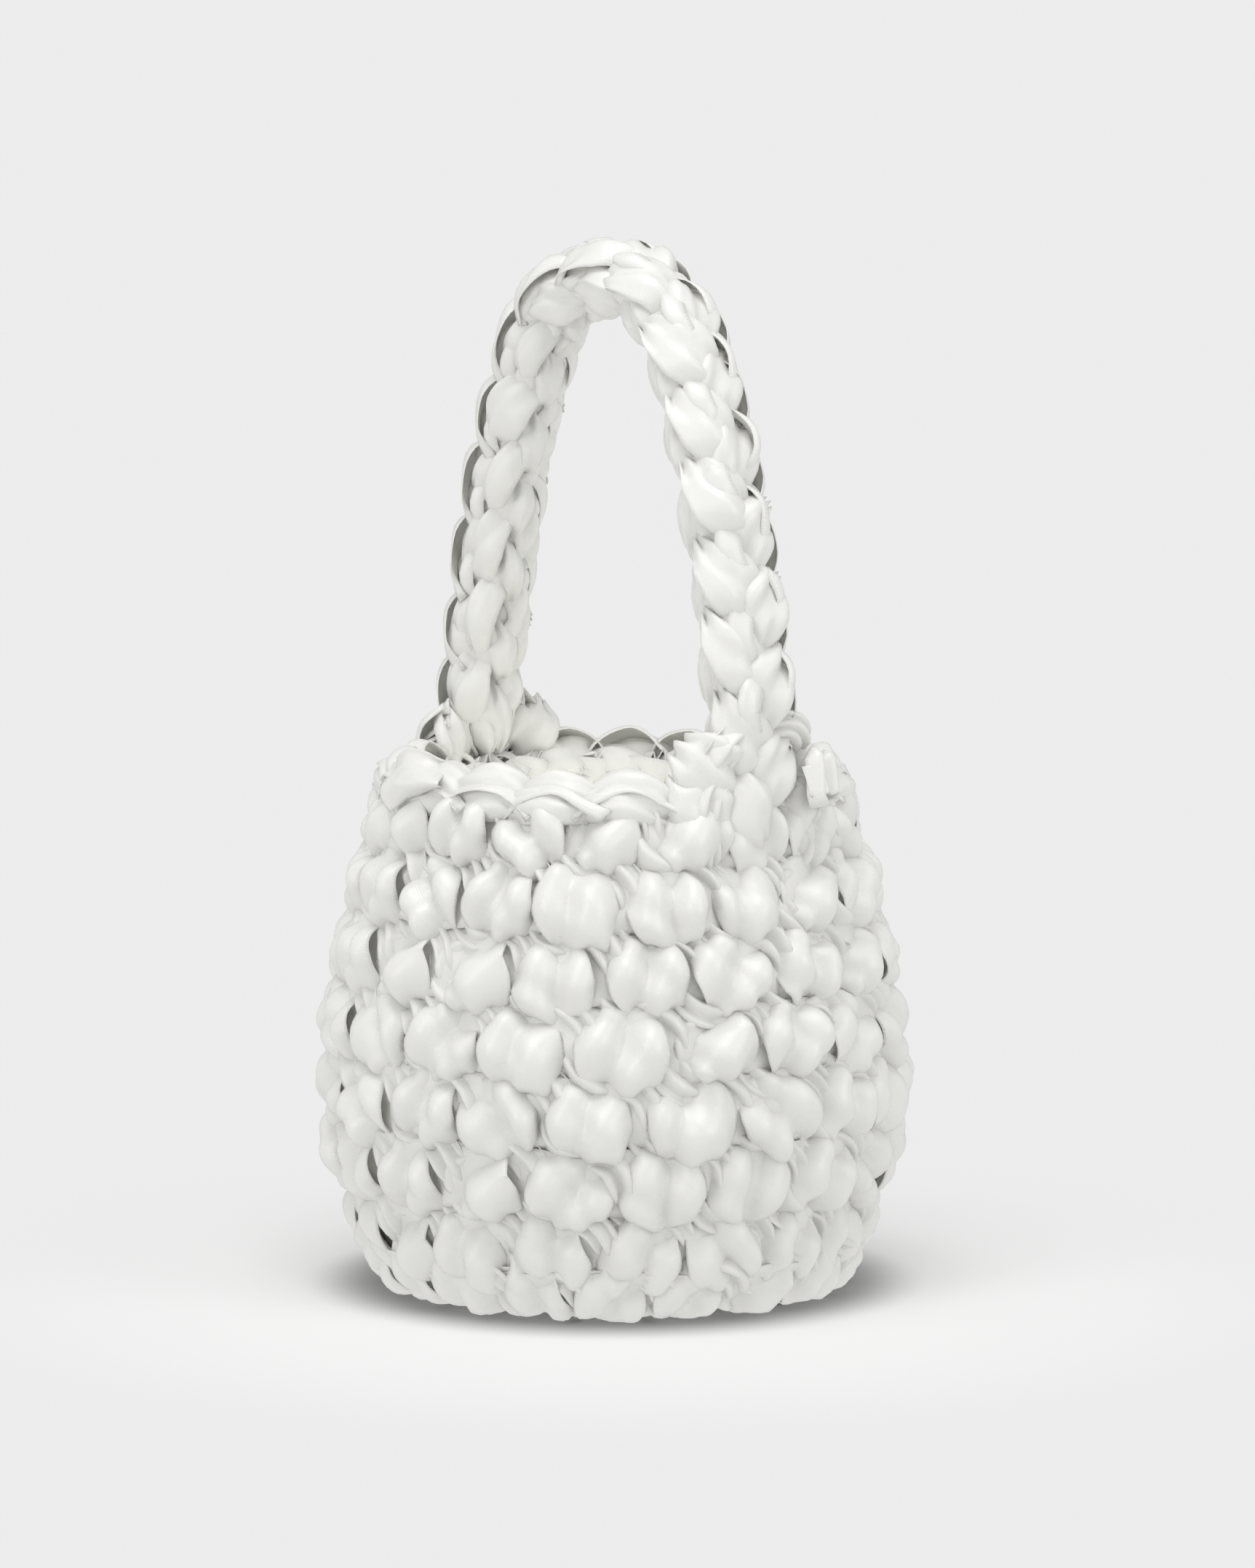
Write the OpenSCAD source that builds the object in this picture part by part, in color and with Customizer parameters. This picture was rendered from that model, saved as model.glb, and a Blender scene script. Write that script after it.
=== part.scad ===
// Flower girl basket: a soft bucket bag crocheted in rounds from wide satin ribbon, with one arched
// handle strip. Every round of stitches is its own closed ring, and the rings stack face to face.
// Millimetres. +Z is up, the origin is the middle of the base where it rests, and the handle's two
// roots stand on the X axis.

/* [Bag] */
// Widest diameter of the bag
belly_d = 150; // [140:1:160]
// Height of the widest place above the floor
belly_z = 57; // [50:1:64]
// Outer diameter of the wall at the floor
foot_d = 116; // [110:1:122]
// Outer diameter of the top wall round, under the rim chain
rim_d = 119; // [116:1:124]
// Height of the top of the rim chain
bag_h = 134; // [128:1:140]

/* [Stitches] */
// Thickness of the base rounds
base_t = 9; // [7:0.5:11]
// Thickness of a wall round at its fattest
wall_t = 14; // [12:0.5:15]
// Radius of the puffed inner and outer faces of a round
puff_r = 12; // [11:0.5:14]
// Height of the round that turns from base to wall
edge_h = 10; // [9.5:0.5:12]
// Height of the rim chain
chain_h = 7; // [6:0.5:8]

/* [Handle] */
// Width of the handle strip, along the rim
strip_w = 28; // [24:1:30]
// Thickness of the handle strip
strip_t = 16; // [13:0.5:18]
// Height of the top of the handle
handle_top_z = 261; // [250:1:270]
// Radius of the crown at the middle of the strip
crown_r = 34; // [31:1:37]
// Lean of a leg where it meets the crown, from upright
leg_top_lean = 23.3; // [20:0.1:26]
// Lean of a leg where it meets its foot, from upright
leg_foot_lean = 8; // [5:0.5:10]
// Height of the line that the handle swings about
swing_z = 150; // [149:0.5:152]
// Height of the joint between foot and leg
foot_top_z = 158; // [156:0.5:162]
// Width of a root where it spreads along the rim
root_w = 40; // [34:1:44]
// Running gap between a foot and its root
swing_gap = 0.3; // [0.2:0.05:0.5]

/* [Ribbon] */
// Width of the folded ribbon end on the handle root
handle_end_w = 15; // [12:1:16]
// Thickness of a ribbon end where it lies doubled
end_t = 3; // [2:0.5:4]

/* [Hidden] */
$fn = 96;
WALL_ROUNDS = 7;

satin = "#f6f5f1";
shade = "#e9e8e3";

// The wall: rounds of one height between the base edge and the rim chain
wall_top_z = bag_h - chain_h;
round_h = (wall_top_z - edge_h) / WALL_ROUNDS;
// How sharply the outline falls away above and below its widest place
TOP_POWER = 1.6;
FOOT_POWER = 2.2;

// The base: flat rounds of equal width inside the edge round
edge_r = 8;
edge_x = foot_d / 2 - 3;
base_w = 15.5;
base_in_r = 3 * base_w;

// The handle's centre line: crown arc, then a leg arc that leaves it without a corner
crown_z = handle_top_z - strip_t / 2 - crown_r;
leg_top_x = crown_r * cos(leg_top_lean);
leg_top_z = crown_z + crown_r * sin(leg_top_lean);
leg_r = (leg_top_z - foot_top_z) / (sin(leg_top_lean) - sin(leg_foot_lean));
leg_cx = leg_top_x - leg_r * cos(leg_top_lean);
leg_cz = leg_top_z - leg_r * sin(leg_top_lean);
foot_x = leg_cx + leg_r * cos(leg_foot_lean) + 1;
EXTRA_SWEEP = 3;

// The roots: a spread of stitches on the rim, up to the running gap
chain_r = 5.5;
chain_x = rim_d / 2 - chain_r;
root_t = strip_t + 1;
root_z = wall_top_z;
root_h = swing_z - strip_w / 2 - swing_gap - root_z;
root_round = 4;

// Where the two ribbon ends lie
RIM_END_TURN = -95;
rim_end_l = 18;
rim_end_h = 9;
handle_end_y = 15.5;
handle_end_h = 10;

// Outer radius of the wall at a height
function wall_r(z) = z > belly_z
  ? belly_d / 2 - (belly_d - rim_d) / 2 * pow((z - belly_z) / (wall_top_z - belly_z), TOP_POWER)
  : belly_d / 2 - (belly_d - foot_d) / 2 * pow((belly_z - z) / belly_z, FOOT_POWER);

// A puffed band: two bowed faces between flat top and bottom
module puff_section(x, z, h, t) {
  intersection() {
    translate([x - t, z - h / 2]) square([2 * t, h]);
    translate([x - puff_r + t / 2, z]) circle(r = puff_r);
    translate([x + puff_r - t / 2, z]) circle(r = puff_r);
  }
}

// One flat round of the base, between two radii, crowned on top
module base_ring(r_in, r_out) {
  rotate_extrude()
    intersection() {
      translate([r_in, 0]) square([r_out - r_in, base_t]);
      translate([(r_in + r_out) / 2, base_t - puff_r]) circle(r = puff_r);
    }
}

module base_centre() {
  color(shade) rotate_extrude()
    intersection() {
      square([base_w, base_t]);
      translate([0, base_t - 2 * base_w]) circle(r = 2 * base_w);
    }
}

module base_round_2() {
  color(satin) base_ring(base_w, 2 * base_w);
}

module base_round_3() {
  color(shade) base_ring(2 * base_w, base_in_r);
}

module base_edge_round() {
  color(satin) rotate_extrude() {
    translate([base_in_r, 0]) square([edge_x - base_in_r, edge_h]);
    intersection() {
      translate([base_in_r, 0]) square([foot_d, edge_h]);
      translate([edge_x, edge_r]) circle(r = edge_r);
    }
  }
}

// One round of the wall, counted from the base
module wall_round(n) {
  z = edge_h + (n - 0.5) * round_h;
  color(n % 2 == 0 ? satin : shade)
    rotate_extrude() puff_section(wall_r(z) - wall_t / 2, z, round_h, wall_t);
}

// The whole ring of the rim chain, flat where it sits on the top round
module chain_ring() {
  rotate_extrude() intersection() {
    translate([chain_x - chain_r, wall_top_z]) square([2 * chain_r, chain_h]);
    translate([chain_x, bag_h - chain_r]) circle(r = chain_r);
  }
}

// The chain of top loops, left open where the handle's roots stand
module rim_chain() {
  color(satin) difference() {
    chain_ring();
    translate([-rim_d, -root_w / 2, root_z - 1]) cube([2 * rim_d, root_w, 2 * chain_h]);
  }
}

// A root's face along the rim: square below, rounded at its two top corners
module root_face() {
  translate([-root_w / 2, 0]) square([root_w, root_h - root_round]);
  translate([-root_w / 2 + root_round, 0]) square([root_w - 2 * root_round, root_h]);
  for (side = [-1, 1])
    translate([side * (root_w / 2 - root_round), root_h - root_round]) circle(r = root_round);
}

module handle_root(side) {
  color(shade) translate([side * foot_x - root_t / 2, 0, root_z])
    rotate([90, 0, 90]) linear_extrude(root_t) root_face();
}

// The cut end of the last round, folded out over the rim chain
module rim_ribbon_end() {
  color(satin) rotate([0, 0, RIM_END_TURN]) difference() {
    translate([chain_x, -rim_end_l / 2, root_z]) cube([chain_r + end_t, rim_end_l, rim_end_h]);
    chain_ring();
  }
}

// The doubled ribbon end on the outer side of the right root
module handle_ribbon_end() {
  color(satin) translate([foot_x + root_t / 2, handle_end_y - handle_end_w / 2, root_z])
    cube([end_t, handle_end_w, handle_end_h]);
}

// Section of the strip: a bar with full round edges, wide along the rim
module strip_section(x) {
  translate([x - strip_t / 2, -(strip_w - strip_t) / 2]) square([strip_t, strip_w - strip_t]);
  for (side = [-1, 1])
    translate([x, side * (strip_w - strip_t) / 2]) circle(d = strip_t);
}

// The strip swept along an arc in the upright plane, from one angle through a turn
module strip_arc(r, from, turn) {
  rotate([90, 0, 0]) rotate([0, 0, from]) rotate_extrude(angle = turn) strip_section(r);
}

// A foot: the strip's lower end, rounded about the swing line
module handle_foot(side) {
  color(satin) translate([side * foot_x, 0, 0]) intersection() {
    translate([0, 0, swing_z - strip_w]) linear_extrude(foot_top_z - swing_z + strip_w)
      strip_section(0);
    union() {
      translate([-strip_t, 0, swing_z]) rotate([0, 90, 0]) cylinder(d = strip_w, h = 2 * strip_t);
      translate([-strip_t, -strip_w / 2, swing_z]) cube([2 * strip_t, strip_w, strip_w]);
    }
  }
}

module handle_leg_right() {
  color(shade) intersection() {
    translate([leg_cx, 0, leg_cz])
      strip_arc(leg_r, leg_foot_lean - EXTRA_SWEEP, leg_top_lean - leg_foot_lean + EXTRA_SWEEP);
    translate([0, -strip_w, foot_top_z]) cube([belly_d, 2 * strip_w, handle_top_z]);
  }
}

module handle_leg_left() {
  mirror([1, 0, 0]) handle_leg_right();
}

module handle_crown() {
  color(satin) translate([0, 0, crown_z]) strip_arc(crown_r, leg_top_lean, 180 - 2 * leg_top_lean);
}

base_centre();
base_round_2();
base_round_3();
base_edge_round();
wall_round(1);  // wall_round_1
wall_round(2);  // wall_round_2
wall_round(3);  // wall_round_3
wall_round(4);  // wall_round_4
wall_round(5);  // wall_round_5
wall_round(6);  // wall_round_6
wall_round(7);  // wall_round_7
rim_chain();
rim_ribbon_end();
handle_root(-1);  // handle_root_left
handle_root(1);  // handle_root_right
handle_ribbon_end();
handle_foot(-1);  // handle_foot_left
handle_foot(1);  // handle_foot_right
handle_leg_left();
handle_leg_right();
handle_crown();
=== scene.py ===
"""Flower girl basket: a soft bucket bag crocheted in rounds from white satin ribbon, with one handle.

Every stretch of ribbon that shows between two tight places in the crochet is cut flat, pinned where
the stitches grip it, and left to a cloth simulation to buckle. The relaxed stretches are then worked
round the bag and along the handle, a round or a strip at a time, over the solids of the frame.
"""
from __future__ import annotations

import logging
import math
import random
from dataclasses import dataclass, field
from enum import Enum
from typing import Callable, Iterable, Sequence

import bmesh
import bpy
import numpy as np
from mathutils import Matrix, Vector

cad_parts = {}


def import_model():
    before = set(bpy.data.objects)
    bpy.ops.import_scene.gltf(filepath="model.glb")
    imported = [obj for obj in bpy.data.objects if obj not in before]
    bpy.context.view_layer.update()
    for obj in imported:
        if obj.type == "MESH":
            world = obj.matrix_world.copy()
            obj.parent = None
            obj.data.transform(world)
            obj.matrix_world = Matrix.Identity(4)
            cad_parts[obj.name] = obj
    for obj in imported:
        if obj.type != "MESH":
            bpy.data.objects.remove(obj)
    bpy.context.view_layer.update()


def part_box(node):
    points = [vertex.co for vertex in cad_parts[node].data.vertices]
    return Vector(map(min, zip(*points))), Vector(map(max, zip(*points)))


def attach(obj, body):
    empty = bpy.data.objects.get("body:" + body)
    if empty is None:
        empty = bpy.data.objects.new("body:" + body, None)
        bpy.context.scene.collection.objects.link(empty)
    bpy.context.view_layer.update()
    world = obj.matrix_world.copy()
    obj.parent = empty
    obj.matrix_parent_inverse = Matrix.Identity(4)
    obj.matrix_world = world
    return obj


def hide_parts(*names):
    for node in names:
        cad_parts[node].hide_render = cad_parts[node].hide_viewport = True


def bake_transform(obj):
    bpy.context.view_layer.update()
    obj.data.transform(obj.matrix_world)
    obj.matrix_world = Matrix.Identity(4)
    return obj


log = logging.getLogger("flower_girl_basket")

MM = 0.001
FRONT = 51.0
RIBBON_WIDE = 20.0
UV_NAME = "ribbon"
JUST_ABOVE_FLOOR = 0.0002
LINE_STEPS = 64
GRIPPED = 0.02

Place = Callable[[np.ndarray], np.ndarray]
Point = tuple[float, float, float]


class Form(Enum):
    """The shapes that a stretch of ribbon takes in the crochet."""

    FACE = "face"
    BAND = "band"
    TONGUE = "tongue"
    BACK = "back"
    LEAF = "leaf"
    PUFF = "puff"
    FLAG = "flag"
    TAB = "tab"


@dataclass(frozen=True)
class Cut:
    """One stretch of ribbon between two tight places.

    Sizes are millimetres in a stitch's own frame: x along the round, y up the fabric, z outwards.
    """

    path: tuple[Point, ...]
    spread: tuple[float, ...]
    wrap: float = 85.0
    slack: float = 1.08
    roll: tuple[float, float] = (0.0, 0.0)
    pleats: float = 3.0
    across: int = 18
    along: int = 18
    puff: float = 0.6
    dents: float = 0.0
    valley: float = 0.0
    tuck: float = 0.0
    relax: bool = True
    inward: bool = False
    loose: bool = False


CUTS: dict[Form, Cut] = {
    Form.FACE: Cut(
        path=((-2.5, 10.4, -3.5), (-1.6, 7.0, 2.6), (-0.4, 1.8, 6.2), (0.8, -4.4, 6.6),
              (1.8, -8.9, 3.2), (1.6, -8.6, -3.0)),
        spread=(0.42, 0.9, 1.0, 1.0, 0.8, 0.4),
        wrap=84.0, slack=1.12, pleats=2.4, across=24, along=24, puff=0.02, dents=2.3, valley=4.0,
        tuck=0.5),
    Form.BAND: Cut(
        path=((1.0, 6.0, -5.5), (6.8, 9.0, 1.2), (11.6, 7.0, 4.2), (14.2, 1.6, 3.8),
              (14.4, -5.6, -6.0)),
        spread=(0.3, 0.46, 0.52, 0.46, 0.32),
        wrap=80.0, slack=1.03, pleats=2.7, across=22, along=18, puff=0.0, dents=0.6, valley=0.4),
    Form.TONGUE: Cut(
        path=((-10.5, 5.5, -6.0), (-12.6, -0.2, 1.4), (-10.4, -5.2, 3.6), (-5.2, -8.2, 3.0),
              (2.0, -8.6, -6.0)),
        spread=(0.3, 0.52, 0.6, 0.5, 0.3),
        wrap=70.0, slack=1.03, pleats=2.2, across=20, along=16, puff=0.0, dents=0.8, valley=0.6),
    Form.BACK: Cut(
        path=((-13.5, -3.0, -1.0), (-6.5, 0.0, -4.4), (0.0, 1.2, -5.6), (6.5, 1.0, -4.8),
              (13.5, -1.5, -1.0)),
        spread=(0.62, 0.95, 1.0, 0.95, 0.62),
        wrap=50.0, slack=1.08, pleats=2.0, across=12, along=16, puff=0.03, dents=1.0, valley=1.2,
        inward=True),
    Form.LEAF: Cut(
        path=((-14.0, -1.5, -4.5), (-8.0, 0.5, 2.0), (0.0, 1.5, 4.4), (8.0, 1.0, 2.6),
              (14.0, -2.5, -4.5)),
        spread=(0.24, 0.72, 0.92, 0.72, 0.24),
        wrap=75.0, slack=1.05, roll=(-6.0, 8.0), pleats=3.4, across=20, along=20, puff=0.02,
        dents=0.9, valley=1.3, tuck=2.2),
    Form.PUFF: Cut(
        path=((-1.0, 9.0, -3.2), (-0.5, 5.2, 2.4), (0.0, 0.0, 4.4), (0.5, -5.2, 2.8),
              (1.0, -8.5, -3.2)),
        spread=(0.4, 0.8, 0.9, 0.78, 0.35),
        wrap=80.0, slack=1.12, pleats=2.2, across=16, along=18, puff=0.03, dents=1.4, valley=2.0,
        tuck=2.0),
    Form.FLAG: Cut(
        path=((9.0, 0.5, 0.0), (4.0, 0.6, 2.8), (-2.5, -0.8, 4.2), (-8.5, -3.4, 4.0)),
        spread=(0.25, 0.52, 0.7, 0.76),
        wrap=24.0, slack=1.02, roll=(-8.0, 10.0), pleats=0.9, across=22, along=22, puff=0.0,
        dents=0.4, valley=0.7, loose=True),
    Form.TAB: Cut(
        path=((1.0, 5.0, -1.5), (0.6, 4.6, 1.0), (0.2, 0.0, 2.0), (-0.2, -4.6, 2.2),
              (-0.4, -5.2, 1.2), (-0.4, -1.0, 0.6), (-0.4, 3.0, 0.2)),
        spread=(0.5, 0.55, 0.58, 0.6, 0.6, 0.6, 0.6),
        wrap=30.0, slack=1.0, pleats=1.5, across=18, along=30, relax=False, dents=0.2),
}

# How many different stretches of each form are relaxed.
VARIANTS: dict[Form, int] = {
    Form.FACE: 9, Form.BAND: 6, Form.TONGUE: 6, Form.BACK: 4, Form.LEAF: 8, Form.PUFF: 6,
    Form.FLAG: 1, Form.TAB: 1,
}

# How much broader a stretch is worked than it relaxed, and how many millimetres it stands out.
FITS: dict[Form, tuple[float, float]] = {
    Form.FACE: (1.14, 0.5), Form.BAND: (1.0, -0.2), Form.TONGUE: (1.0, -0.4), Form.BACK: (1.0, 0.0),
}


def spline(points: Sequence[Sequence[float]], count: int) -> np.ndarray:
    """Even points on a smooth curve through a few chosen ones.

    Args:
        points: the points that the curve passes through.
        count: how many points to give back.

    Returns:
        An array of count rows.
    """
    knots = np.array(points, float)
    ends = np.vstack([2 * knots[0] - knots[1], knots, 2 * knots[-1] - knots[-2]])
    fine = []
    for i in range(len(knots) - 1):
        p0, p1, p2, p3 = ends[i:i + 4]
        for t in np.linspace(0, 1, 24, endpoint=i == len(knots) - 2):
            fine.append(0.5 * (2 * p1 + (p2 - p0) * t + (2 * p0 - 5 * p1 + 4 * p2 - p3) * t * t
                               + (3 * p1 - p0 - 3 * p2 + p3) * t ** 3))
    fine = np.array(fine)
    run = np.concatenate([[0.0], np.cumsum(np.linalg.norm(np.diff(fine, axis=0), axis=1))])
    even = np.linspace(0, run[-1], count)
    return np.column_stack([np.interp(even, run, fine[:, c]) for c in range(fine.shape[1])])


@dataclass
class Swatch:
    """A relaxed stretch of ribbon, ready to be worked into the crochet."""

    mesh: bpy.types.Mesh
    points: np.ndarray
    length: float


@dataclass
class Job:
    """A stretch that waits to be relaxed, and the fold that it gets afterwards."""

    form: Form
    piece: bpy.types.Object
    fold: np.ndarray
    length: float


@dataclass
class RibbonLoom:
    """Cuts stretches of ribbon and relaxes them by cloth simulation.

    The ribbon is simulated a hundred times life size, where the solver's usual values suit it.
    """

    seed: int = 7
    frames: int = 22
    scale: float = 0.1
    jobs: list[Job] = field(default_factory=list)

    def start_shape(self, cut: Cut, a: np.ndarray, t: np.ndarray, rng: random.Random) -> np.ndarray:
        """Where a cut's points are before it relaxes.

        Args:
            cut: the stretch of ribbon.
            a: place across the ribbon, from -1 to 1.
            t: place along it, from 0 to 1.
            rng: the source of this variant's small differences.

        Returns:
            The points, in millimetres.
        """
        wobble = 0.55
        knots = [tuple(c + rng.uniform(-wobble, wobble) for c in p) for p in cut.path]
        n = LINE_STEPS
        line = spline(knots, n)
        tangent = np.gradient(line, axis=0)
        tangent /= np.linalg.norm(tangent, axis=1)[:, None]
        out = np.zeros_like(line)
        middle = n // 2
        face = np.array([0.0, 0.0, -1.0 if cut.inward else 1.0])
        first = face - (face @ tangent[middle]) * tangent[middle]
        out[middle] = first / np.linalg.norm(first)
        for order in (range(middle + 1, n), range(middle - 1, -1, -1)):
            last = middle
            for i in order:
                v = out[last] - (out[last] @ tangent[i]) * tangent[i]
                out[i] = v / np.linalg.norm(v)
                last = i
        side = np.cross(tangent, out)
        roll = np.radians(np.linspace(cut.roll[0], cut.roll[1], n) + rng.uniform(-7, 7))[:, None]
        out, side = (out * np.cos(roll) + side * np.sin(roll), side * np.cos(roll) - out * np.sin(roll))
        spread = np.interp(np.linspace(0, 1, n), np.linspace(0, 1, len(cut.spread)), cut.spread)

        at = t * (n - 1)

        def pick(table: np.ndarray) -> np.ndarray:
            """Rows of a table along the line, at each point's own place."""
            return np.column_stack([np.interp(at, np.arange(n), table[:, c]) for c in range(3)])

        open_share = np.interp(at, np.arange(n), spread)
        wrap = math.radians(cut.wrap)
        radius = RIBBON_WIDE / wrap
        phi = a * wrap / 2
        wide = radius * np.sin(phi) * open_share
        high = radius * (np.cos(phi) - math.cos(wrap / 2)) * (0.4 + 0.6 * open_share)
        waves = cut.pleats + rng.uniform(-0.6, 0.6)
        phase = rng.uniform(0, math.tau)
        depth = 0.8 * RIBBON_WIDE / (math.pi * waves) * np.sqrt(np.clip(2 * (1 - open_share), 0, None))
        fold = depth * np.cos(math.pi * waves * a + phase) * (1 - open_share) ** 0.5
        high = high + fold - radius * (1 - math.cos(wrap / 2)) * 0.5
        inside = (1 - a ** 4) * np.sin(math.pi * t) ** 0.6
        for _ in range(4):
            across, along = rng.uniform(0.6, 2.2), rng.uniform(0.6, 2.4)
            wave = np.sin(across * math.pi * a / 2 + along * math.pi * t + rng.uniform(0, math.tau))
            high = high + cut.dents * rng.uniform(0.2, 0.5) * wave * inside
        return pick(line) + pick(side) * wide[:, None] + pick(out) * high[:, None]

    def crease(self, cut: Cut, a: np.ndarray, t: np.ndarray, rng: random.Random) -> np.ndarray:
        """How far a slanting fold pushes each point in, where the stitches above pull it.

        Args:
            cut: the stretch of ribbon.
            a: place across the ribbon, from -1 to 1.
            t: place along it, from 0 to 1.
            rng: the source of this variant's small differences.

        Returns:
            Depths in millimetres, less than nothing on the ridge beside the fold.
        """
        lean = math.radians(rng.uniform(20, 65)) * rng.choice((1, 1, -1))
        off = a * math.cos(lean) + (1 - 2 * t) * math.sin(lean) - rng.uniform(-0.25, 0.3)
        fold = np.exp(-(off / 0.21) ** 2) - 0.4 * np.exp(-((off + 0.6) / 0.32) ** 2)
        fold -= 0.3 * np.exp(-((off - 0.6) / 0.3) ** 2)
        cross = a * math.sin(lean) - (1 - 2 * t) * math.cos(lean) - rng.uniform(-0.5, 0.5)
        fold += 0.45 * np.exp(-(cross / 0.2) ** 2)
        held = np.clip(t * 4, 0, 1) * np.clip((1 - t) * 4, 0, 1)
        tucked = cut.tuck * np.clip((np.abs(a) - 0.62) / 0.38, 0, 1) ** 1.5
        return cut.valley * rng.uniform(0.7, 1.15) * fold * held * (1.15 - 0.5 * t) + tucked * held

    def cut_ribbon(self, form: Form, variant: int) -> None:
        """Cuts one stretch and gets it ready to relax.

        Args:
            form: which stretch of the stitch it is.
            variant: its number among the stretches of that form.
        """
        cut = CUTS[form]
        rng = random.Random(f"{self.seed} {form.value} {variant}")
        bm = bmesh.new()
        bmesh.ops.create_grid(bm, x_segments=cut.across, y_segments=cut.along, size=1.0)
        bm.verts.ensure_lookup_table()
        flat = np.array([v.co for v in bm.verts])
        a, t = flat[:, 0], (flat[:, 1] + 1) / 2
        start = self.start_shape(cut, a, t, rng)
        line = spline(cut.path, LINE_STEPS)
        length = np.linalg.norm(np.diff(line, axis=0), axis=1).sum() * cut.slack
        uv = bm.loops.layers.uv.new(UV_NAME)
        offset = rng.uniform(0, 5)
        for face in bm.faces:
            for loop in face.loops:
                i = loop.vert.index
                loop[uv].uv = ((a[i] + 1) / 2 * RIBBON_WIDE * MM, (t[i] * length + offset) * MM)
        mesh = bpy.data.meshes.new(f"swatch_{form.value}_{variant}")
        bm.to_mesh(mesh)
        bm.free()
        piece = bpy.data.objects.new(mesh.name, mesh)
        bpy.context.scene.collection.objects.link(piece)
        piece.shape_key_add(name="start").data.foreach_set("co", (start * self.scale).ravel())
        mesh.vertices.foreach_set("co", (start * self.scale).ravel())
        if cut.relax:
            rest = np.column_stack([a * RIBBON_WIDE / 2, t * length, np.zeros_like(a)]) * self.scale
            piece.shape_key_add(name="flat").data.foreach_set("co", rest.ravel())
            pins = piece.vertex_groups.new(name="gripped")
            ends = (t < GRIPPED) if cut.loose else (t < GRIPPED) | (t > 1 - GRIPPED)
            pins.add([int(i) for i in np.where(ends)[0]], 1.0, "REPLACE")
            self.add_cloth(piece, cut)
        self.jobs.append(Job(form, piece, self.crease(cut, a, t, rng), length))

    def add_cloth(self, piece: bpy.types.Object, cut: Cut) -> None:
        """Lets a pinned stretch buckle like soft ribbon, with values chosen for how it looks."""
        cloth = piece.modifiers.new("satin", "CLOTH")
        satin = cloth.settings
        satin.quality = 6
        satin.mass = 0.25
        satin.air_damping = 2.0
        satin.tension_stiffness = 30
        satin.compression_stiffness = 30
        satin.shear_stiffness = 12
        satin.bending_stiffness = 0.06
        satin.tension_damping = 10
        satin.compression_damping = 10
        satin.shear_damping = 8
        satin.bending_damping = 0.8
        satin.vertex_group_mass = "gripped"
        satin.rest_shape_key = piece.data.shape_keys.key_blocks["flat"]
        satin.use_pressure = True
        satin.uniform_pressure_force = -cut.puff if cut.inward else cut.puff
        satin.effector_weights.gravity = 0.0
        cloth.collision_settings.use_collision = False
        cloth.collision_settings.use_self_collision = False
        cloth.point_cache.frame_start = 1
        cloth.point_cache.frame_end = self.frames

    def relax_all(self) -> dict[Form, list[Swatch]]:
        """Runs the simulation once for every stretch together.

        Returns:
            The relaxed stretches, by form.
        """
        scene = bpy.context.scene
        for frame_number in range(1, self.frames + 1):
            scene.frame_set(frame_number)
        graph = bpy.context.evaluated_depsgraph_get()
        shelf: dict[Form, list[Swatch]] = {form: [] for form in Form}
        for job in self.jobs:
            relaxed = bpy.data.meshes.new_from_object(job.piece.evaluated_get(graph))
            bm = bmesh.new()
            bm.from_mesh(relaxed)
            bmesh.ops.smooth_vert(bm, verts=[v for v in bm.verts if not v.is_boundary], factor=0.35,
                                  use_axis_x=True, use_axis_y=True, use_axis_z=True)
            bm.to_mesh(relaxed)
            bm.free()
            points = np.empty(len(relaxed.vertices) * 3)
            relaxed.vertices.foreach_get("co", points)
            points = points.reshape(-1, 3) / self.scale
            points[:, 2] += job.fold * (1 if CUTS[job.form].inward else -1)
            shelf[job.form].append(Swatch(relaxed, points, job.length))
            bpy.data.objects.remove(job.piece)
        scene.frame_set(1)
        return shelf


class Shade:
    """A shader socket that answers to ordinary arithmetic by adding Math nodes."""

    def __init__(self, bench: "NodeBench", socket: bpy.types.NodeSocket) -> None:
        """Keeps the socket and the bench that it belongs to."""
        self.bench, self.socket = bench, socket

    def _math(self, operation: str, *values: "Shade | float") -> "Shade":
        """Adds one Math node and gives its result."""
        return self.bench.add("ShaderNodeMath", {"operation": operation}, dict(enumerate(values)))

    def __add__(self, other: "Shade | float") -> "Shade":
        """Sum."""
        return self._math("ADD", self, other)

    def __sub__(self, other: "Shade | float") -> "Shade":
        """Difference."""
        return self._math("SUBTRACT", self, other)

    def __rsub__(self, other: float) -> "Shade":
        """Difference the other way round."""
        return self._math("SUBTRACT", other, self)

    def __mul__(self, other: "Shade | float") -> "Shade":
        """Product."""
        return self._math("MULTIPLY", self, other)

    __radd__, __rmul__ = __add__, __mul__

    def __gt__(self, other: float) -> "Shade":
        """One where this is greater, else nothing."""
        return self._math("GREATER_THAN", self, other)

    def __abs__(self) -> "Shade":
        """Size without its sign."""
        return self._math("ABSOLUTE", self)

    def sine(self) -> "Shade":
        """Sine of a value in radians."""
        return self._math("SINE", self)


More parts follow.
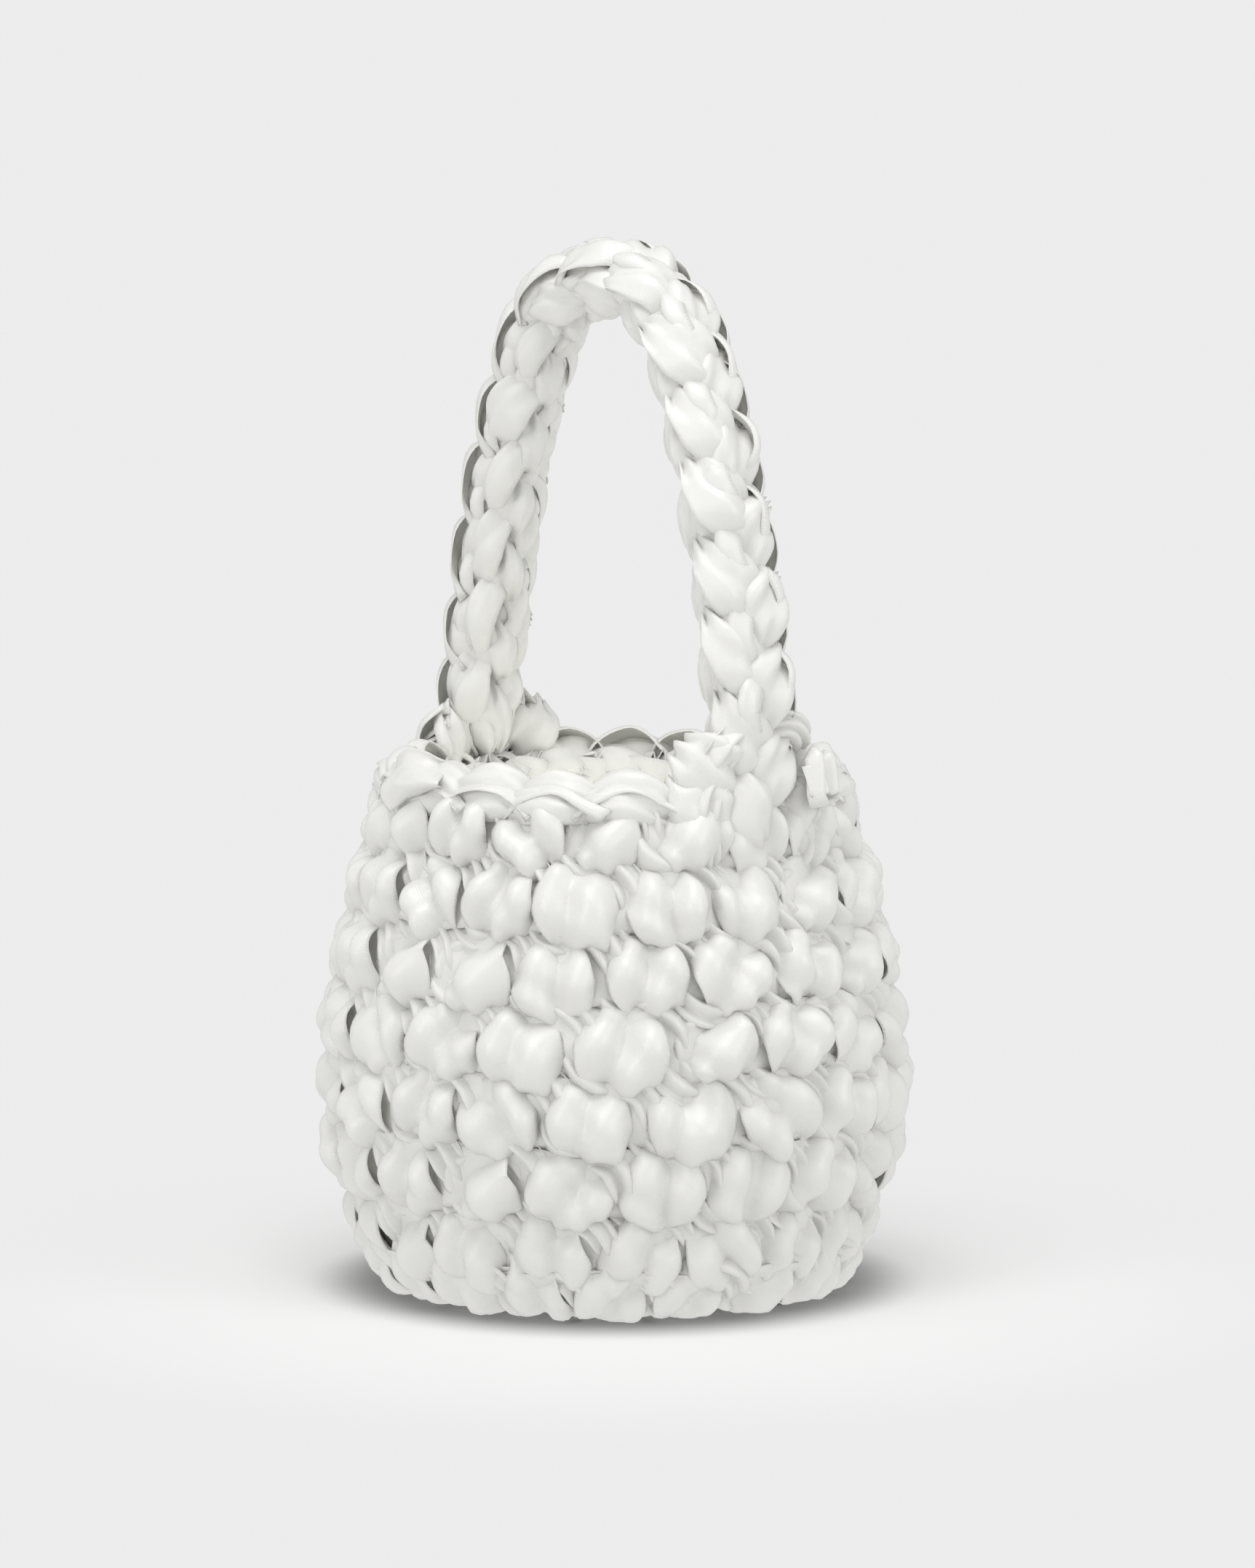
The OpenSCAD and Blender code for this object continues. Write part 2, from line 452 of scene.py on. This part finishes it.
@dataclass
class NodeBench:
    """Adds nodes to one material or world."""

    tree: bpy.types.NodeTree

    def add(self, kind: str, settings: dict | None = None, inputs: dict | None = None,
            output: int | str = 0) -> "Shade | None":
        """Adds a node, sets it, then feeds it.

        Args:
            kind: the node's type.
            settings: its own settings, which are set first.
            inputs: values or sockets, by input name or number.
            output: which output to give back.

        Returns:
            The chosen output, or nothing for a node that only takes in.
        """
        node = self.tree.nodes.new(kind)
        for name, value in (settings or {}).items():
            setattr(node, name, value)
        for name, value in (inputs or {}).items():
            if isinstance(value, Shade):
                self.tree.links.new(value.socket, node.inputs[name])
            else:
                node.inputs[name].default_value = value
        return Shade(self, node.outputs[output]) if node.outputs else None


@dataclass(frozen=True)
class SatinFinish:
    """Double-faced polyester satin: a fine slanting weave, a soft sheen and beaded edges."""

    name: str
    colour: tuple[float, float, float] = (0.975, 0.972, 0.94)
    thread: float = 0.42
    bead: float = 0.85
    edge: float = 0.9
    rough: float = 0.25
    weave_depth: float = 0.00002
    shines_through: float = 0.22

    def make(self) -> bpy.types.Material:
        """Builds the material.

        Returns:
            The finished material.
        """
        material = bpy.data.materials.new(self.name)
        material.use_nodes = True
        material.node_tree.nodes.clear()
        bench = NodeBench(material.node_tree)
        ribbon = bench.add("ShaderNodeUVMap", {"uv_map": UV_NAME})
        across = bench.add("ShaderNodeSeparateXYZ", None, {0: ribbon}, "X")
        along = Shade(bench, across.socket.node.outputs["Y"])
        turn = math.tau / (self.thread * MM)
        weft = (along * turn).sine()
        twill = ((across + along * 0.5) * turn).sine()
        half = RIBBON_WIDE * MM / 2
        at_edge = abs(across - half) > (half - self.edge * MM)
        beads = (along * (math.tau / (self.bead * MM))).sine()
        height = (weft * 0.4 + twill * 0.6) * (1 - at_edge) + (beads * 1.2 + 1.6) * at_edge
        bump = bench.add("ShaderNodeBump", None,
                         {"Strength": 1.0, "Distance": self.weave_depth, "Height": height}, "Normal")
        mottled = bench.add("ShaderNodeTexNoise", None, {"Vector": ribbon, "Scale": 160.0}, "Fac")
        rough = mottled * 0.1 + (self.rough - 0.05) + at_edge * 0.1 + twill * 0.03
        colour = bench.add(
            "ShaderNodeMix", {"data_type": "RGBA"},
            {0: mottled, 6: (*self.colour, 1.0),
             7: (self.colour[0] * 1.02, self.colour[1] * 1.02, self.colour[2] * 1.03, 1.0)}, 2)
        shader = bench.add(
            "ShaderNodeBsdfPrincipled", None,
            {"Base Color": colour, "Roughness": rough, "Normal": bump,
             "Specular IOR Level": 0.9, "Sheen Weight": 0.1, "Sheen Roughness": 0.4})
        through = bench.add("ShaderNodeBsdfTranslucent", None, {"Color": (1.0, 1.0, 0.97, 1.0)})
        thin = bench.add("ShaderNodeMixShader", None, {0: self.shines_through, 1: shader, 2: through})
        bench.add("ShaderNodeOutputMaterial", None, {"Surface": thin})
        return material


@dataclass
class Crochet:
    """One piece of crochet, worked up from many stretches of ribbon."""

    name: str
    thick: float = 0.3
    floor: float | None = None
    bm: bmesh.types.BMesh = field(default_factory=bmesh.new)
    parts: list[np.ndarray] = field(default_factory=list)

    def work(self, swatch: Swatch, points: np.ndarray) -> None:
        """Works one stretch of ribbon in.

        Args:
            swatch: the relaxed stretch.
            points: where its points go, in metres in the shared frame.
        """
        self.bm.from_mesh(swatch.mesh)
        self.parts.append(points)

    def finish(self, material: bpy.types.Material) -> bpy.types.Object:
        """Gives the ribbon its thickness and makes the piece.

        Args:
            material: the satin that it is made of.

        Returns:
            The finished object, at the origin.
        """
        mesh = bpy.data.meshes.new(self.name)
        self.bm.to_mesh(mesh)
        self.bm.free()
        points = np.vstack(self.parts)
        if self.floor is not None:
            points[:, 2] = np.maximum(points[:, 2], self.floor)
        mesh.vertices.foreach_set("co", points.ravel())
        mesh.materials.clear()
        mesh.materials.append(material)
        piece = bpy.data.objects.new(self.name, mesh)
        bpy.context.scene.collection.objects.link(piece)
        shell = piece.modifiers.new("ribbon", "SOLIDIFY")
        shell.thickness = self.thick * MM
        shell.offset = 0.0
        graph = bpy.context.evaluated_depsgraph_get()
        piece.data = bpy.data.meshes.new_from_object(piece.evaluated_get(graph))
        piece.modifiers.clear()
        piece.data.name = self.name
        piece.data.shade_smooth()
        return piece


def tweak(points: np.ndarray, size: Sequence[float] = (1, 1, 1), turn: float = 0.0,
          flip: float = 0.0, move: Sequence[float] = (0, 0, 0)) -> np.ndarray:
    """Resizes, turns and moves a stretch in its stitch's own frame.

    Args:
        points: the stretch's points.
        size: how much larger, along each axis.
        turn: degrees in the plane of the fabric.
        flip: degrees about the line up the fabric, 180 for its other side.
        move: millimetres.

    Returns:
        The new points.
    """
    q = points * np.array(size, float)
    c, s = math.cos(math.radians(turn)), math.sin(math.radians(turn))
    q = np.column_stack([q[:, 0] * c - q[:, 1] * s, q[:, 0] * s + q[:, 1] * c, q[:, 2]])
    q = q + np.array(move, float)
    c, s = math.cos(math.radians(flip)), math.sin(math.radians(flip))
    return np.column_stack([q[:, 0] * c + q[:, 2] * s, q[:, 1], q[:, 2] * c - q[:, 0] * s])


@dataclass
class RoundBed:
    """Where one round of stitches lies: a ring about the bag's upright axis.

    The tilt is how far the fabric's outward side looks up from level, -90 for the underside.
    """

    radius: float
    height: float
    tilt: float
    stitches: int
    start: float

    @property
    def pitch(self) -> float:
        """Width of one stitch, in millimetres."""
        return math.tau * self.radius / self.stitches

    def place(self, number: float) -> Place:
        """How to work a stretch in at a stitch of this round."""
        centre = math.radians(self.start) + math.tau * number / self.stitches
        c, s = math.cos(math.radians(self.tilt)), math.sin(math.radians(self.tilt))

        def worked(q: np.ndarray) -> np.ndarray:
            """Wraps a stitch's own millimetres round the bag."""
            angle = centre + q[:, 0] / self.radius
            out = self.radius - q[:, 1] * s + q[:, 2] * c
            up = self.height + q[:, 1] * c + q[:, 2] * s
            return np.column_stack([out * np.cos(angle), out * np.sin(angle), up]) * MM

        return worked


@dataclass
class RoundWorker:
    """Works single crochet into a round, each stitch a little different from the last."""

    shelf: dict[Form, list[Swatch]]
    seed: int = 11
    gauge: float = 22.5

    def __post_init__(self) -> None:
        """Starts the source of small differences."""
        self.rng = random.Random(self.seed)

    def pick(self, form: Form) -> Swatch:
        """One of the relaxed stretches of a form."""
        return self.rng.choice(self.shelf[form])

    def stitch(self, piece: Crochet, bed: RoundBed, number: float, tall: float = 1.0,
               deep: float = 1.0, filled: bool = True) -> None:
        """Works one stitch: a face, the leg behind it, the tongue below and the back.

        Args:
            piece: the crochet that it goes into.
            bed: the round.
            number: the stitch's number along the round.
            tall: height against a usual stitch.
            deep: thickness against a usual stitch.
            filled: whether the ribbon inside the stitch is seen between its folds.
        """
        wide = bed.pitch / self.gauge
        place = bed.place(number)
        jig = self.rng.uniform
        for form, across, size, up in (
                (Form.BACK, 10.0, (1.0, 0.9, -0.62), 0.0), (Form.BACK, -1.0, (1.0, 0.9, -0.55), 0.2),
                ) if filled else ():
            core = self.pick(form)
            points = tweak(core.points, (size[0] * wide, size[1] * tall, size[2] * deep),
                           jig(-6, 6), 0.0, (across * wide, 0.5, up))
            piece.work(core, place(points))
        for form in (Form.FACE, Form.BAND, Form.TONGUE, Form.BACK):
            grow = jig(0.94, 1.07)
            broad, proud = FITS[form]
            size = (wide * grow * broad, tall * grow, deep * jig(0.9, 1.08))
            move = (jig(-0.7, 0.7), jig(-0.6, 0.6), jig(-0.4, 0.4) + proud)
            swatch = self.pick(form)
            points = tweak(swatch.points, size, jig(-7, 7), 0.0, move)
            piece.work(swatch, place(points))


@dataclass
class Bag:
    """The bucket of the bag: base, wall rounds and the chain round the rim."""

    shelf: dict[Form, list[Swatch]]
    satin: bpy.types.Material
    stitches: int = 19
    wall_thick: float = 14.0
    lean: float = 0.27
    base_counts: tuple[int, ...] = (5, 10, 15)
    wall_sink: float = 1.9
    edge_sink: float = 8.0
    edge_height: float = 8.0
    edge_tilt: float = -48.0
    base_sink: float = 7.7
    base_height: float = 5.5

    def ring(self, node: str) -> tuple[float, float]:
        """Outer radius and middle height of a CAD ring, in millimetres."""
        low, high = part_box(node)
        return (high[0] - low[0]) / 2 / MM, (high[2] + low[2]) / 2 / MM

    def build(self) -> list[bpy.types.Object]:
        """Works the whole bag.

        Returns:
            Its pieces, each standing for one CAD ring.
        """
        worker = RoundWorker(self.shelf)
        pieces = []
        names = [f"wall_round_{n}" for n in range(1, 8)]
        rings = [self.ring(name) for name in names]
        edge_outer, _ = self.ring("base_edge_round")
        rims = [(edge_outer - 1.0, 6.0)] + rings + [(rings[-1][0] - 4.0, rings[-1][1] + 14.0)]
        for i, name in enumerate(names, 1):
            outer, height = rims[i]
            slope = (rims[i + 1][0] - rims[i - 1][0]) / (rims[i + 1][1] - rims[i - 1][1])
            bed = RoundBed(outer - self.wall_thick / 2 - self.wall_sink, height,
                           -math.degrees(math.atan(slope)), self.stitches,
                           FRONT - 90 + i * self.lean * 360 / self.stitches)
            piece = Crochet(f"{name}_satin")
            for k in range(self.stitches):
                worker.stitch(piece, bed, k)
            pieces.append(self.ride(piece, name))
        edge = RoundBed(edge_outer - self.edge_sink, self.edge_height, self.edge_tilt,
                        self.stitches, FRONT - 90)
        piece = Crochet("base_edge_satin", floor=JUST_ABOVE_FLOOR)
        for k in range(self.stitches):
            worker.stitch(piece, edge, k, deep=0.8)
        pieces.append(self.ride(piece, "base_edge_round"))
        for name, count in zip(("base_centre", "base_round_2", "base_round_3"), self.base_counts):
            low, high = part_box(name)
            outer = (high[0] - low[0]) / 2 / MM
            bed = RoundBed(outer - self.base_sink, self.base_height, -90.0, count, 20.0 * count)
            piece = Crochet(f"{name}_satin", floor=JUST_ABOVE_FLOOR)
            for k in range(count):
                worker.stitch(piece, bed, k, deep=0.75, filled=False)
            pieces.append(self.ride(piece, name))
        pieces.append(self.rim(worker))
        pieces.append(self.ribbon_end("rim_ribbon_end", Form.FLAG))
        pieces.append(self.ribbon_end("handle_ribbon_end", Form.TAB))
        return pieces

    def ribbon_end(self, node: str, form: Form) -> bpy.types.Object:
        """A cut end of the ribbon, lying on the outside of the crochet.

        Args:
            node: the CAD piece that it replaces.
            form: the stretch that it is cut as.

        Returns:
            The finished end, a small piece of folded ribbon.
        """
        low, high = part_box(node)
        x, y, z = ((l + h) / 2 / MM for l, h in zip(low, high))
        bed = RoundBed(math.hypot(x, y) - 1.5, z, 8.0, self.stitches, math.degrees(math.atan2(y, x)))
        piece = Crochet(f"{node}_satin")
        swatch = self.shelf[form][0]
        piece.work(swatch, bed.place(0)(swatch.points))
        made = piece.finish(self.satin)
        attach(made, "basket")
        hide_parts(node)
        return made

    def rim(self, worker: RoundWorker) -> bpy.types.Object:
        """The chain of top loops: long leaves that overlap round the rim."""
        low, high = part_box("rim_chain")
        loop_radius, root_half = 5.5, 20.0
        radius = (high[1] - low[1]) / 2 / MM - loop_radius
        piece = Crochet("rim_chain_satin")
        jig = worker.rng.uniform
        for tilt, height, lift in ((40.0, 126.2, 0.6), (116.0, 126.0, 0.4)):
            bed = RoundBed(radius, height, tilt, self.stitches, FRONT - 90 + 4)
            for k in range(self.stitches):
                angle = math.radians(bed.start) + math.tau * k / self.stitches
                if abs(math.sin(angle)) * radius < root_half:
                    continue
                swatch = worker.pick(Form.LEAF)
                points = tweak(swatch.points, (1.0, 0.95, 0.9), jig(-8, 4), 0.0,
                               (jig(-1, 1), jig(-0.6, 0.6), lift))
                piece.work(swatch, bed.place(k)(points))
        return self.ride(piece, "rim_chain")

    def ride(self, piece: Crochet, node: str) -> bpy.types.Object:
        """Finishes a ring of the bag and puts it in its CAD ring's place."""
        made = piece.finish(self.satin)
        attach(made, "basket")
        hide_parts(node)
        return made


@dataclass
class HandlePath:
    """The middle line of the handle strip, from its right root over the crown to the left."""

    root_z: float = 128.0
    foot_top: float = 158.0
    crown_r: float = 34.0
    top_lean: float = 23.3
    foot_lean: float = 8.0
    strip_thick: float = 16.0

    def __post_init__(self) -> None:
        """Draws the line as foot, leg arc and crown arc, and mirrors it."""
        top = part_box("handle_crown")[1][2] / MM
        crown_z = top - self.strip_thick / 2 - self.crown_r
        lean, low = math.radians(self.top_lean), math.radians(self.foot_lean)
        leg_top = (self.crown_r * math.cos(lean), crown_z + self.crown_r * math.sin(lean))
        leg_r = (leg_top[1] - self.foot_top) / (math.sin(lean) - math.sin(low))
        centre = (leg_top[0] - leg_r * math.cos(lean), leg_top[1] - leg_r * math.sin(lean))
        foot_x = centre[0] + leg_r * math.cos(low)
        line = [(foot_x + 1.5, z) for z in np.arange(self.root_z - 20, self.foot_top - 6, 1.0)]
        line += [(centre[0] + leg_r * math.cos(a), centre[1] + leg_r * math.sin(a))
                 for a in np.linspace(low, lean, 60)]
        line += [(self.crown_r * math.cos(a), crown_z + self.crown_r * math.sin(a))
                 for a in np.linspace(lean, math.pi / 2, 50)[1:]]
        half = np.array(line)
        full = np.vstack([half, half[-2::-1] * (-1, 1)])
        run = np.concatenate([[0], np.cumsum(np.linalg.norm(np.diff(full, axis=0), axis=1))])
        self.run, self.full = run - 20.0, full
        self.length = run[-1] - 40.0

    def at(self, s: np.ndarray) -> tuple[np.ndarray, np.ndarray]:
        """Points and directions of the line at lengths from the right root."""
        step = 1.5
        here = [np.interp(s, self.run, self.full[:, c]) for c in (0, 1)]
        ahead = [np.interp(s + step, self.run, self.full[:, c]) for c in (0, 1)]
        behind = [np.interp(s - step, self.run, self.full[:, c]) for c in (0, 1)]
        d = np.column_stack(ahead) - np.column_stack(behind)
        return np.column_stack(here), d / np.maximum(np.linalg.norm(d, axis=1), 1e-9)[:, None]

    def place(self, s: float) -> Place:
        """How to work a stretch in at a length along the handle."""
        def worked(q: np.ndarray) -> np.ndarray:
            """Wraps a stitch's own millimetres along the strip."""
            here, along = self.at(s + q[:, 1])
            x = here[:, 0] + along[:, 1] * q[:, 2]
            z = here[:, 1] - along[:, 0] * q[:, 2]
            return np.column_stack([x, q[:, 0], z]) * MM

        return worked


@dataclass
class Handle:
    """The handle strip: a braid of leaves outside, puffs inside, and leaves along both edges."""

    shelf: dict[Form, list[Swatch]]
    satin: bpy.types.Material
    path: HandlePath
    pitch: float = 18.5
    seed: int = 5
    flat_half: float = 7.0
    edge_round: float = 8.0
    bag_radius: float = 52.0

    def hugged(self, points: np.ndarray) -> np.ndarray:
        """Bends what lies near the strip's edges round them."""
        past = np.clip((np.abs(points[:, 0]) - self.flat_half) / self.edge_round, 0, 0.94)
        bent = points.copy()
        bent[:, 2] *= np.sqrt(1 - past ** 2) * (1 - past / 2)
        return bent

    def spread_round(self, points: np.ndarray) -> np.ndarray:
        """Bends what lies beside the strip's root round the bag."""
        bent = points.copy()
        bent[:, 2] -= points[:, 0] ** 2 / (2 * self.bag_radius)
        return bent

    def build(self) -> list[bpy.types.Object]:
        """Works the strip and shares it out between the CAD pieces."""
        rng = random.Random(self.seed)
        jig = rng.uniform
        length = self.path.length
        cuts = {
            "handle_root_right": (-99.0, 9.0), "handle_foot_right": (9.0, 30.0),
            "handle_leg_right": (30.0, 108.0), "handle_crown": (108.0, length - 108.0),
            "handle_leg_left": (length - 108.0, length - 30.0),
            "handle_foot_left": (length - 30.0, length - 9.0),
            "handle_root_left": (length - 9.0, length + 99.0),
        }
        pieces = {name: Crochet(f"{name}_satin") for name in cuts}

        def work(form: Form, s: float, points_of: Callable[[np.ndarray], np.ndarray],
                 hug: bool = True) -> None:
            """Works one stretch into the piece that covers its place on the strip."""
            swatch = rng.choice(self.shelf[form])
            name = next(n for n, (a, b) in cuts.items() if a <= s < b)
            points = points_of(swatch.points)
            points = self.hugged(points) if hug else self.spread_round(points)
            pieces[name].work(swatch, self.path.place(s)(points))

        rows = round((length + 8.0) / self.pitch)
        for k in range(rows + 1):
            s = -4.0 + (length + 8.0) * k / rows
            for side in (-1, 1):
                step = s + (self.pitch / 2 if side > 0 else 0.0)
                if step > length + 6:
                    continue
                work(Form.LEAF, step, lambda p, side=side: tweak(
                    p, (0.93, side * 1.04, 1.05), side * jig(54, 66), 0.0,
                    (side * (3.3 + jig(-0.5, 0.5)), jig(-1, 1), 2.6 + jig(-0.5, 0.5))))
                if not 12.0 < step < length - 6.0:
                    continue
                work(Form.LEAF, step - 4, lambda p, side=side: tweak(
                    p, (0.98, 0.84, 1.0), 90 + side * jig(8, 20), side * 104.0,
                    (0.0, jig(-1, 1), 6.2)))
                work(Form.LEAF, step + 3, lambda p, side=side: tweak(
                    p, (0.92, 0.72, 1.25), 90 - side * jig(6, 18), side * 148.0,
                    (0.0, jig(-1, 1), 3.2)))
                for turn, out in ((72.0, 5.5), (128.0, 3.4)):
                    work(Form.PUFF, step + 4, lambda p, side=side, turn=turn, out=out: tweak(
                        p, (0.85, 1.1, 0.9), jig(-8, 8), side * turn, (0.0, jig(-1, 1), out)))
            work(Form.PUFF, s + 5, lambda p: tweak(
                p, (jig(0.95, 1.1), 1.05, 0.9), jig(-12, 12), 180.0, (jig(-1, 1), 0.0, 3.2)))
        for end, way in ((-3.0, 1), (length + 3.0, -1)):
            for side in (-1, 1):
                for lift, out in ((0.0, 15.5), (way * 9.0, 13.0), (way * -8.0, 17.0)):
                    work(Form.PUFF, end + lift, lambda p, side=side, out=out: tweak(
                        p, (jig(0.9, 1.15), 1.0, 1.0), jig(-50, 50), 0.0,
                        (side * out, jig(-1, 1), 2.0)), hug=False)
                    work(Form.BAND, end + lift, lambda p, side=side, out=out: tweak(
                        p, (side * 0.9, 0.9, 0.9), jig(-40, 40), 0.0,
                        (side * (out - 12.0), jig(-1, 1), 2.4)), hug=False)
                    work(Form.PUFF, end + lift, lambda p, side=side, out=out: tweak(
                        p, (0.85, 0.9, 0.8), jig(-30, 30), 180.0, (side * out, jig(-1, 1), 1.6)),
                        hug=False)
        made = []
        for name, piece in pieces.items():
            obj = piece.finish(self.satin)
            if "root" in name or "foot" in name:
                side = 1 if "right" in name else -1
                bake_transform(obj)
            else:
                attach(obj, "handle")
            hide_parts(name)
            made.append(obj)
        return made


@dataclass
class Studio:
    """Plain pale floor, soft lights and the camera."""

    grey: float = 0.843
    distance: float = 1.5
    rise: float = 6.2
    target_z: float = 0.1257
    shift_right: float = 0.0035
    lens: float = 137.6
    frame_tall: float = 36.0

    def aim(self, obj: bpy.types.Object, at: Vector) -> None:
        """Turns a lamp or camera to look at a point."""
        obj.rotation_euler = (at - obj.location).to_track_quat("-Z", "Y").to_euler()

    def camera(self) -> None:
        """Sets the camera up in front of the bag, a little above it."""
        a, e = math.radians(FRONT), math.radians(self.rise)
        back = Vector((math.sin(a) * math.cos(e), -math.cos(a) * math.cos(e), math.sin(e)))
        right = Vector((math.cos(a), math.sin(a), 0.0))
        target = right * self.shift_right + Vector((0, 0, self.target_z))
        data = bpy.data.cameras.new("camera")
        data.sensor_fit = "VERTICAL"
        data.sensor_height = self.frame_tall
        data.lens = self.lens
        data.clip_end = 30.0
        camera = bpy.data.objects.new("camera", data)
        bpy.context.scene.collection.objects.link(camera)
        camera.location = target + back * self.distance
        self.aim(camera, target)
        bpy.context.scene.camera = camera

    def lamp(self, name: str, right: float, near: float, up: float, size: float, watts: float) -> None:
        """Adds one soft square light, placed as seen from the camera."""
        a = math.radians(FRONT)
        data = bpy.data.lights.new(name, "AREA")
        data.energy, data.size = watts, size
        lamp = bpy.data.objects.new(name, data)
        bpy.context.scene.collection.objects.link(lamp)
        lamp.location = (Vector((math.cos(a), math.sin(a), 0)) * right
                         + Vector((math.sin(a), -math.cos(a), 0)) * near + Vector((0, 0, up)))
        self.aim(lamp, Vector((0, 0, 0.1)))

    def inner_glow(self, watts: float = 0.08) -> None:
        """A faint light inside the bag, in place of light scattered through its thin white layers."""
        data = bpy.data.lights.new("inner_glow", "POINT")
        data.energy, data.shadow_soft_size = watts, 0.03
        data.color = (1.0, 0.99, 0.95)
        glow = bpy.data.objects.new("inner_glow", data)
        bpy.context.scene.collection.objects.link(glow)
        glow.location = (0.0, 0.0, 0.075)
        glow.visible_camera = glow.visible_glossy = False

    def sky(self) -> None:
        """Even pale surroundings: what the eye sees and a softer light from them."""
        world = bpy.data.worlds.new("studio")
        bpy.context.scene.world = world
        world.use_nodes = True
        world.node_tree.nodes.clear()
        bench = NodeBench(world.node_tree)
        seen = bench.add("ShaderNodeBackground", None,
                         {"Color": (self.grey, self.grey, self.grey, 1), "Strength": 1.0})
        lit = bench.add("ShaderNodeBackground", None, {"Color": (1, 1, 1, 1), "Strength": 0.61})
        ray = bench.add("ShaderNodeLightPath", None, None, "Is Camera Ray")
        mix = bench.add("ShaderNodeMixShader", None, {0: ray, 1: lit, 2: seen})
        bench.add("ShaderNodeOutputWorld", None, {"Surface": mix})

    def floor(self) -> None:
        """A pale floor that fades into the surroundings, with a painted contact shadow: its colour is
        darker near and under the bag.
        """
        bm = bmesh.new()
        bmesh.ops.create_circle(bm, cap_ends=True, radius=4.0, segments=96)
        mesh = bpy.data.meshes.new("floor")
        bm.to_mesh(mesh)
        bm.free()
        floor = bpy.data.objects.new("floor", mesh)
        bpy.context.scene.collection.objects.link(floor)
        material = bpy.data.materials.new("pale_floor")
        material.use_nodes = True
        material.node_tree.nodes.clear()
        bench = NodeBench(material.node_tree)
        spot = bench.add("ShaderNodeTexCoord", None, None, "Object")
        reach = bench.add("ShaderNodeVectorMath", {"operation": "LENGTH"}, {0: spot}, "Value")
        fade = bench.add("ShaderNodeMapRange", {"interpolation_type": "SMOOTHSTEP"},
                         {"Value": reach, "From Min": 0.08, "From Max": 0.2, "To Min": 1.0,
                          "To Max": 0.0})
        # Painted shadow: the floor colour goes from 0.3 grey within 55 mm of the bag's axis up to 0.88
        # beyond 80 mm, standing in for the contact shadow under the bag.
        painted_shadow_mask = bench.add("ShaderNodeMapRange", {"interpolation_type": "SMOOTHSTEP"},
                          {"Value": reach, "From Min": 0.055, "From Max": 0.08, "To Min": 0.0,
                           "To Max": 1.0})
        floor_colour_with_painted_shadow = bench.add("ShaderNodeMix", {"data_type": "RGBA"},
                         {0: painted_shadow_mask, 6: (0.3, 0.3, 0.3, 1), 7: (0.88, 0.88, 0.88, 1)}, 2)
        matt = bench.add("ShaderNodeBsdfPrincipled", None,
                         {"Base Color": floor_colour_with_painted_shadow, "Roughness": 1.0, "Specular IOR Level": 0.0})
        glow = bench.add("ShaderNodeEmission", None,
                         {"Color": (self.grey, self.grey, self.grey, 1), "Strength": 1.0})
        seen = bench.add("ShaderNodeLightPath", None, None, "Is Camera Ray")
        mix = bench.add("ShaderNodeMixShader", None, {0: fade * seen, 1: glow, 2: matt})
        bench.add("ShaderNodeOutputMaterial", None, {"Surface": mix})
        mesh.materials.append(material)

    def build(self) -> None:
        """Sets up the whole studio."""
        self.camera()
        self.sky()
        self.floor()
        self.inner_glow()
        self.lamp("overhead", -0.05, 0.3, 1.2, 0.7, 5.2)
        self.lamp("right_fill", 1.1, 0.7, 0.6, 0.6, 2.9)
        self.lamp("left_fill", -0.9, 0.9, 0.5, 0.5, 2.7)
        bpy.context.scene.view_settings.view_transform = "Standard"


def main() -> None:
    """Makes the bag, the handle and the studio in order."""
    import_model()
    Studio().build()
    loom = RibbonLoom()
    for form, count in VARIANTS.items():
        for variant in range(count):
            loom.cut_ribbon(form, variant)
    shelf = loom.relax_all()
    satin = SatinFinish("white_satin").make()
    for piece in Bag(shelf, satin).build() + Handle(shelf, satin, HandlePath()).build():
        log.info("made %s with %d faces", piece.name, len(piece.data.polygons))


if __name__ == "__main__":
    logging.basicConfig(level=logging.INFO, format="%(name)s: %(message)s")
    main()
